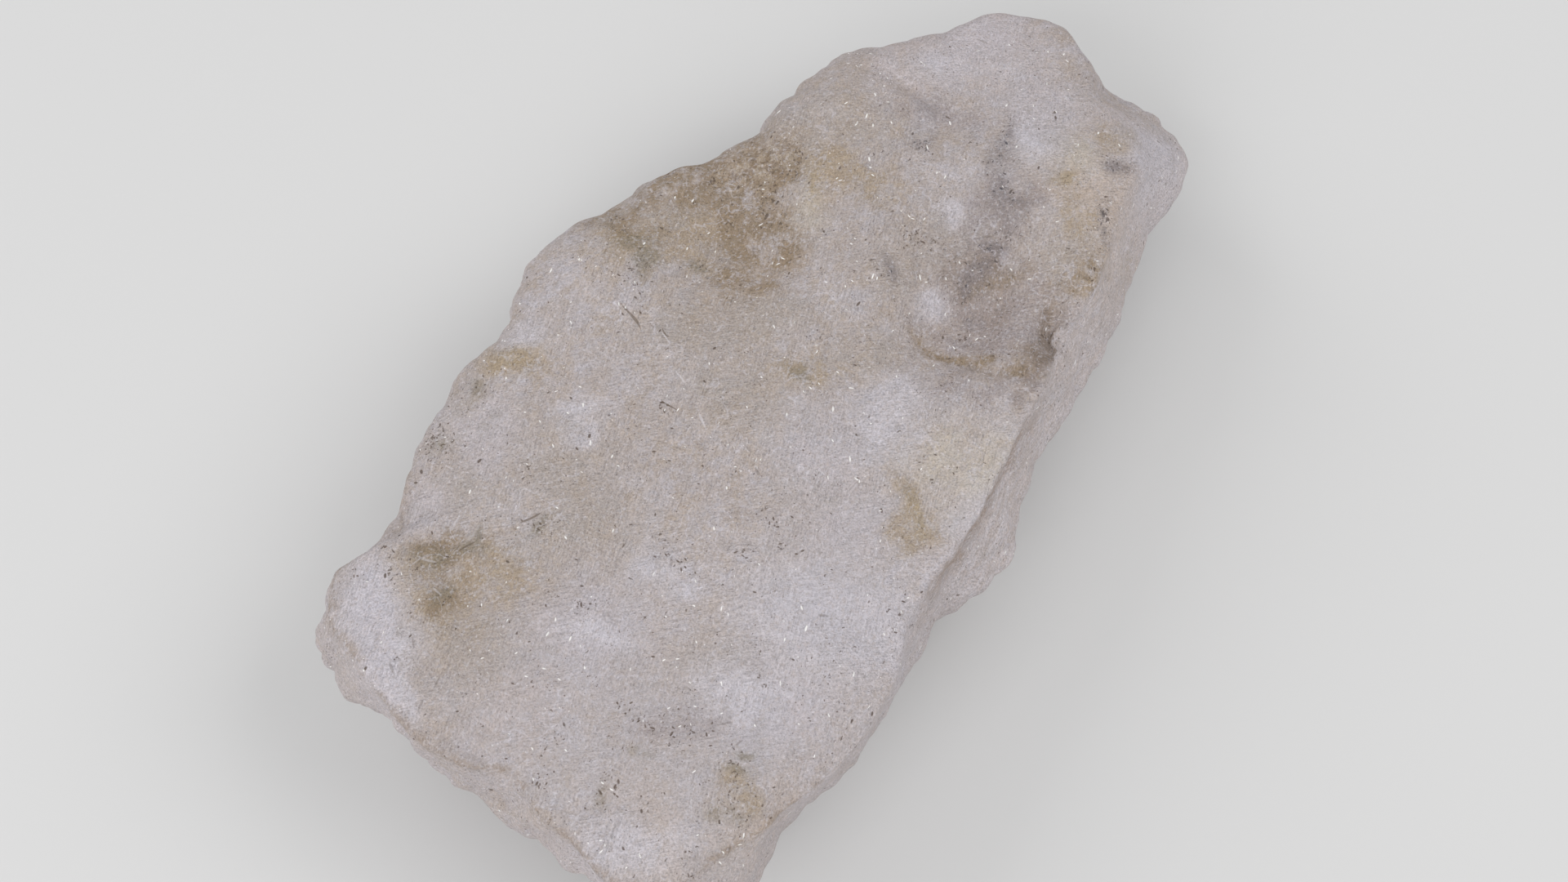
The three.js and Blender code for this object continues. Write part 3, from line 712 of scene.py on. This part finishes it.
# Warm and cool places lie side by side, down to single grains.
COOLER, WARMER = (0.98, 1, 1.022, 1), (1.02, 1, 0.978, 1)
tint = blend(ramp(frays[1], 0.36, 0.64, smooth=False), COOLER, WARMER)
colour = finish.vector("MULTIPLY", colour, tint)

# Sugary grain: warm and pale grains side by side.
WARM_GRAIN, PALE_GRAIN = tone(162, 147, 136), tone(202, 198, 205)
colour = blend(ramp(specks[1], 0.48, 0.7) * 0.3, colour, WARM_GRAIN)
colour = blend(ramp(specks[2], 0.5, 0.74) * 0.45, colour, PALE_GRAIN)
grain = noise(place, 0.22, detail=1.5, rough=0.75)
mottle = noise(place, 1.1, detail=3, rough=0.65)

# Silky fibres lie one way or another from place to place. They, the grain and a mottle make the
# colour lighter and darker, a little less where the stone is cool.
FIBRE_SIZE = (1.9, 0.14, 0.3)  # along, across and in depth
FIBRE_BEARINGS, FIBRE_TILT = (20, -48), 0.6
lying, crossing = (
    noise(stretched(place, FIBRE_SIZE, bearing, FIBRE_TILT), 1.0, detail=2, rough=0.6)
    for bearing in FIBRE_BEARINGS
)
fibres = lying + ramp(noise(place, 6), 0.44, 0.56) * (crossing - lying)
uneven = 1.1 * grain + 0.22 * mottle + 0.73 * fibres - 1.025  # less its mean
colour = darkened(1.045 + uneven * (1 - 0.3 * kept("cool")), colour)

# Fine dark pits, crowded in places: brown ones, and bluish grey ones where the stone is sooty.
PITTED = [
    (29, 0, 1.5, 1.5, 0), (34, -7.5, 3.5, 1.2, 35), (29, -12, 1.5, 2, -55),
    (23, -13.5, 3, 1.5, -25), (19, -13, 2, 1.5, -55), (13, -15.5, 2, 1, -55),
    (12, -19, 1.2, 1, -55), (40, -19.5, 1.2, 1, -55), (32.5, -22, 2.5, 1, 35),
    (26, -23.5, 2.5, 1, 30), (24.5, -29.5, 1.5, 1.5, 0), (16.5, -25, 3, 1, 40), (20.5, 12, 2, 2, 0),
    (14.5, 17.5, 3, 1.2, -120), (15, 11, 2.5, 1.5, 15), (13, 22.5, 1.5, 1, -55), (3, 22.5, 1, 1, 0),
    (-5.5, 16, 1.2, 1.5, -55), (-1.5, 17, 1.5, 3, -55), (4, 13, 1, 1, 0), (12, -4.5, 1.5, 1, -55),
    (18.5, -7, 3.5, 1.5, -55), (-22.5, 27, 2.5, 1.2, -80), (-28, 24.5, 2, 3.5, -55),
    (-31, 9.5, 2, 1.5, -55), (-37.5, 13.5, 1.8, 1, -35), (-42, 12, 1, 1, 0),
    (-37.5, -1, 1.5, 1.5, 0), (-26.5, -5, 2, 1.2, -55), (-19, -12.5, 3, 1.2, 35),
    (-23.5, -10, 1, 1, 0), (-43, -10.5, 1.8, 1.2, -80), (-42.5, -14, 1.8, 1.5, -55),
    (-42, -17, 2, 1.5, -25), (-42.5, -23, 2.2, 1.2, 35), (-46, -24.5, 1, 0.7, -55),
    (-51.5, -13.5, 1.5, 1.2, -55), (-46, -13.5, 1, 1, 0), (-52.5, -7, 2.5, 1.2, 45),
    (-52.5, -24.5, 1.2, 1.5, -55), (-33.5, -19.5, 1, 1, 0), (-33, -32, 1.5, 0.8, -80),
    (-13.5, 6, 1.2, 1.5, -55), (-3, -7, 1.5, 1, -55), (5.5, -17.5, 2, 1, 30),
    (-42.5, 19, 3, 1.2, 45),
]
BROWN_PIT, GREY_PIT = tone(92, 77, 66), tone(72, 71, 80)
spots_kept("pitted", PITTED)
pit = ramp(specks[0] + 0.5 * (frays[2] - 0.5) + 0.1 * kept("pitted"), 0.68, 0.76)
pit_tone = blend(kept("soot"), BROWN_PIT, GREY_PIT)
colour = blend(pit * 0.75, colour, pit_tone)

# How the small ellipsoids lie, in radians: up to 0.8 off level, and any way round. They have
# from 0.5 to 1.5 times the size given, and their edges are soft.
LEAN, LEAST_LEAN = (1.6, 1.6, 6.3), (-0.8, -0.8, 0)
LEAST_SIZE = 0.5
OUTER_EDGE, INNER_EDGE = 1.1, 0.6  # shares of its size where one begins and where it is full


def scatter(cell, half_sizes, shares):
    """Small ellipsoids, one in each cell of a random scatter, each turned its own way and tilted
    a little: 1 inside them and 0 outside. Each given share of them has its own output."""
    cells = finish.node(
        "ShaderNodeTexVoronoi", {}, {"Vector": place, "Scale": 1 / cell, "Randomness": 1.0}
    )
    angles = finish.vector("MULTIPLY_ADD", cells["Color"], LEAN, LEAST_LEAN)
    off = turned(finish.vector("SUBTRACT", place, cells["Position"]), angles)
    length = finish.vector("LENGTH", finish.vector("DIVIDE", off, half_sizes))
    draws = parts(cells["Color"])
    size = LEAST_SIZE + draws[2]
    inside = ramp(length, size * OUTER_EDGE, size * INNER_EDGE)
    return [inside * finish.maths("LESS_THAN", draw, share) for draw, share in zip(draws, shares)]


# Pale streaks and dark wisps, and dark dashes that crowd where the pits do.
PALE_THREAD, DARK_WISP = tone(214, 209, 213), tone(112, 102, 94)
streak, wisp = scatter(2.4, (0.75, 0.1, 0.4), [0.3, 0.2])
colour = blend(streak * 0.4, colour, PALE_THREAD)
colour = blend(wisp * 0.4, colour, DARK_WISP)
dash_share = 0.03 + 0.6 * ramp(kept("pitted"), 0.15, 1, smooth=False)
dash, = scatter(0.65, (0.27, 0.09, 0.16), [dash_share])
colour = blend(dash * 0.85, colour, pit_tone)

HAIR_SWAY, HAIR_SWAY_SIZE = 1.6, 2.5  # how far a hair is bent in all, and how far apart
HAIR_DEPTH = 6  # how far each reaches up and down, so that it follows the waves of the face


def hairs(places):
    """Fine lines lying on the face, a little bent: 1 inside the long thin oval of each, given as
    x, y, half length, half breadth and bearing, and 0 outside."""
    sway = noise(place, HAIR_SWAY_SIZE, detail=0.0, output="Color")
    bent = finish.vector("MULTIPLY_ADD", sway, (HAIR_SWAY, HAIR_SWAY, 0), place)
    found = 0
    for x, y, half_length, half_breadth, bearing in places:
        middle = (x + HAIR_SWAY / 2, y + HAIR_SWAY / 2, FACE_HEIGHT)
        off = finish.vector("SUBTRACT", bent, middle)
        reach = (half_length, half_breadth, HAIR_DEPTH)
        length = finish.vector("LENGTH", stretched(off, reach, bearing))
        found = found + ramp(length, 1.2, 0.7)
    return found


# A lint fibre and a few scratches are dark, and a few threads of crystal are pale.
DARK_HAIR = tone(108, 94, 80)
dark_hairs = hairs([
    (-37.1, 14, 1.3, 0.14, -19), (-6.1, 14.8, 2.1, 0.12, 60), (-12.8, 5.3, 0.9, 0.1, 63),
    (-31.2, 9.9, 1.1, 0.16, -30), (-5.4, 10.5, 0.8, 0.1, 55),
])
pale_hairs = hairs([
    (-9.5, 6.4, 1, 0.13, 63), (-12.5, 1.3, 1.4, 0.12, 56), (-5.9, 10.2, 0.9, 0.1, 55),
])
colour = blend(dark_hairs * 0.7, colour, DARK_HAIR)
colour = blend(pale_hairs * 0.6, colour, PALE_THREAD)

# Small crystal faces that shine, as short dashes of near-white painted glint that are also less
# rough, crowded in places: x, y and reach.
CRYSTALS = [
    (20.5, 11.5, 1.5), (19.5, 9, 1), (-30, 23, 1.8), (-32, 21, 1.2), (-37.5, 18, 1.2),
    (12.5, -16, 1.3), (9, 6, 1), (1.5, 12, 1), (-9.5, 20, 1), (0, 6, 1), (1.5, 1, 1.8),
    (2.5, -12.5, 1.2), (3.5, -19, 1.2), (-13, -8.5, 1.1), (-13.5, -4, 1), (-21, 4.5, 1),
    (-24, 15.5, 1), (-30, 8.5, 1.1), (-30.5, 5, 1.4), (-36.5, 11.5, 1), (-45, 6, 1), (-37, -0.5, 1),
    (-38, -18.5, 1.2), (-13, -21.5, 1.1), (-29, -11, 1.7), (24.5, -29.5, 1.8), (17, -24.5, 1.3),
    (23.5, -18, 1.2), (-45.5, 1, 1), (-13, 5.5, 1.2), (28.5, -3, 2.5),
]
PAINTED_GLINT_WHITE = tone(253, 251, 249)
spots_kept("crystals", [(x, y, reach, reach, 0) for x, y, reach in CRYSTALS])
glint_share = 0.1 + 0.3 * ramp(frays[1], 0.5, 0.66) + 0.6 * kept("crystals")
glint, = scatter(0.8, (0.3, 0.06, 0.12), [glint_share])
colour = blend(glint * 0.95, colour, PAINTED_GLINT_WHITE)

# The surface is dull but for the glints, and its grain and fibres stand a little proud.
RELIEF_HEIGHT = 0.00022  # metres
roughness = 0.68 + 0.12 * (grain - 0.5) - 0.3 * glint
relief = 0.6 * fibres + grain + mottle + 0.5 * noise(place, 0.5, detail=2, rough=0.6)
bump = finish.node(
    "ShaderNodeBump", {}, {"Strength": 1.0, "Distance": RELIEF_HEIGHT, "Height": relief}
)["Normal"]
surface = {"Base Color": colour, "Roughness": roughness, "Normal": bump, "IOR": 1.52}
surface["Specular IOR Level"] = 0.35  # waxy rather than glassy
shader = finish.node("ShaderNodeBsdfPrincipled", {}, surface)["BSDF"]
finish.node("ShaderNodeOutputMaterial", {}, {"Surface": shader})
stone_mesh.materials.append(gypsum)
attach(stone, "root")
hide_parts("gypsum_rock")

# --- The floor --------------------------------------------------------------------------------
# A plain pale sheet of paper under the stone, as a studio table has. It isn't part of the
# object.
FLOOR_HALF = 2.0  # metres from its middle to each edge
PAPER_GREY = tone(214, 214, 214)
floor_mesh = bpy.data.meshes.new("floor")
edge = np.linspace(-FLOOR_HALF, FLOOR_HALF, 2)
x, y = np.meshgrid(edge, edge)
floor_points = np.stack([x.ravel(), y.ravel(), np.zeros(4)], 1)
floor_mesh.from_pydata(floor_points.tolist(), [], [(0, 1, 3, 2)])
floor = bpy.data.objects.new("floor", floor_mesh)
bpy.context.scene.collection.objects.link(floor)
paper = bpy.data.materials.new("pale_paper")
paper.use_nodes = True
paper.node_tree.nodes.clear()
sheet = Value(paper.node_tree)
matt = {"Base Color": PAPER_GREY, "Roughness": 0.9}
shader = sheet.node("ShaderNodeBsdfPrincipled", {}, matt)["BSDF"]
sheet.node("ShaderNodeOutputMaterial", {}, {"Surface": shader})
floor_mesh.materials.append(paper)

# --- The studio -------------------------------------------------------------------------------
# Soft white light from all round, and three broad square lamps above: one over the ridge side,
# one past the blunt end, and one behind. Each lamp has its place in metres and its watts.
SKY_STRENGTH = 0.5
LAMP_SIZE, LAMP_AIM = 0.6, Vector((0, 0, 0.01))  # metres
LAMPS = {
    "right_light": ((0.34, -0.56, 0.7), 3.0),
    "left_light": ((-0.75, -0.1, 0.53), 3.2),
    "back_light": ((-0.1, 0.7, 0.6), 2.2),
}
studio = bpy.data.worlds.new("studio")
studio.use_nodes = True
studio.node_tree.nodes["Background"].inputs["Color"].default_value = (1, 1, 1, 1)
studio.node_tree.nodes["Background"].inputs["Strength"].default_value = SKY_STRENGTH
bpy.context.scene.world = studio
bpy.context.scene.view_settings.view_transform = "Standard"


def facing_along(direction):
    """The turn that makes a lamp or a camera look along a direction."""
    return direction.to_track_quat("-Z", "Y").to_euler()


for name, (at, watts) in LAMPS.items():
    light = bpy.data.lights.new(name, "AREA")
    light.size, light.energy = LAMP_SIZE, watts
    lamp = bpy.data.objects.new(name, light)
    lamp.location = at
    lamp.rotation_euler = facing_along(LAMP_AIM - Vector(at))
    bpy.context.scene.collection.objects.link(lamp)

# The camera looks down on the broad face, from over the blunt end and the ridge side.
AZIMUTH, ELEVATION = math.radians(-57), math.radians(63)
DISTANCE, FOCAL_LENGTH = 0.24, 50  # metres from the stone, and the lens in millimetres
CAMERA_AIM = Vector((-0.005, -0.004, 0.014))
away = Vector((
    math.sin(AZIMUTH) * math.cos(ELEVATION),
    -math.cos(AZIMUTH) * math.cos(ELEVATION),
    math.sin(ELEVATION),
))
lens = bpy.data.cameras.new("camera")
lens.lens, lens.clip_start = FOCAL_LENGTH, 0.01
camera = bpy.data.objects.new("camera", lens)
camera.location = CAMERA_AIM + away * DISTANCE
camera.rotation_euler = facing_along(-away)
bpy.context.scene.collection.objects.link(camera)
bpy.context.scene.camera = camera
